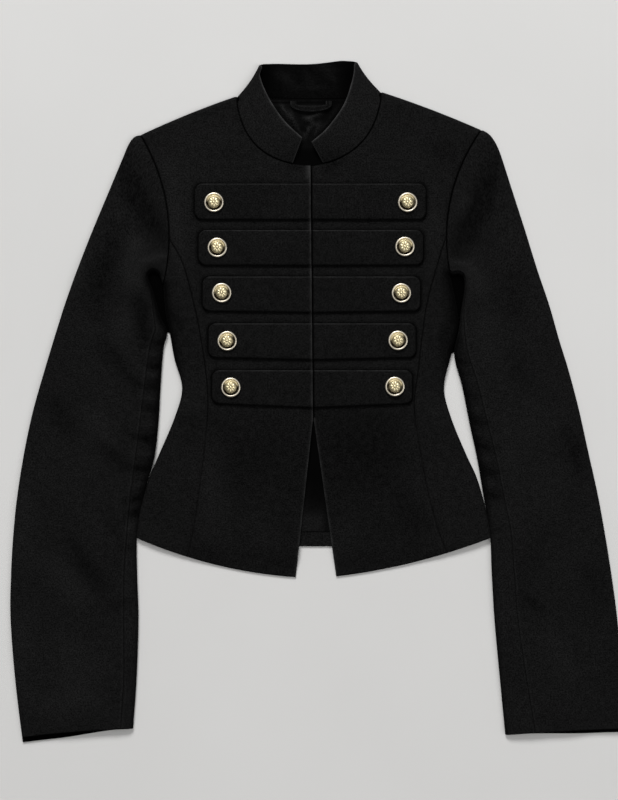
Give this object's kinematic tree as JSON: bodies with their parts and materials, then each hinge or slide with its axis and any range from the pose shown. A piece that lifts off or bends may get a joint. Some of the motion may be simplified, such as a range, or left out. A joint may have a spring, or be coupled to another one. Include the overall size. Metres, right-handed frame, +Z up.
{
  "type": "hussar jacket",
  "caption": "Short fitted jacket laid flat, face up: standing collar, panelled body with a pointed hem, long two-piece sleeves, and cloth tabs with domed metal buttons down the front.",
  "frame": {"origin": "middle of the jacket's underside, on the surface that it lies on", "axes": "+Y from hem to collar, +X to the wearer's left, +Z up out of the front"},
  "size_m": [0.6768, 0.7444, 0.0172],
  "materials": {
    "cloth": "black fulled wool, fine weave",
    "lining": "black satin",
    "brass": "polished, with a darker groove"
  },
  "bodies": {
    "root": {"back": "cloth", "back_lining": "lining", "collar": "cloth", "hanger_loop": "cloth", "front_right": "cloth", "front_left": "cloth", "side_front_right": "cloth", "side_front_left": "cloth", "sleeve_upper_right": "cloth", "sleeve_upper_left": "cloth", "sleeve_under_right": "cloth", "sleeve_under_left": "cloth", "tab_right_1": "cloth", "tab_right_2": "cloth", "tab_right_3": "cloth", "tab_right_4": "cloth", "tab_right_5": "cloth", "tab_left_1": "cloth", "tab_left_2": "cloth", "tab_left_3": "cloth", "tab_left_4": "cloth", "tab_left_5": "cloth", "button_right_1": "brass", "button_right_2": "brass", "button_right_3": "brass", "button_right_4": "brass", "button_right_5": "brass", "button_left_1": "brass", "button_left_2": "brass", "button_left_3": "brass", "button_left_4": "brass", "button_left_5": "brass"}
  },
  "joints": []
}
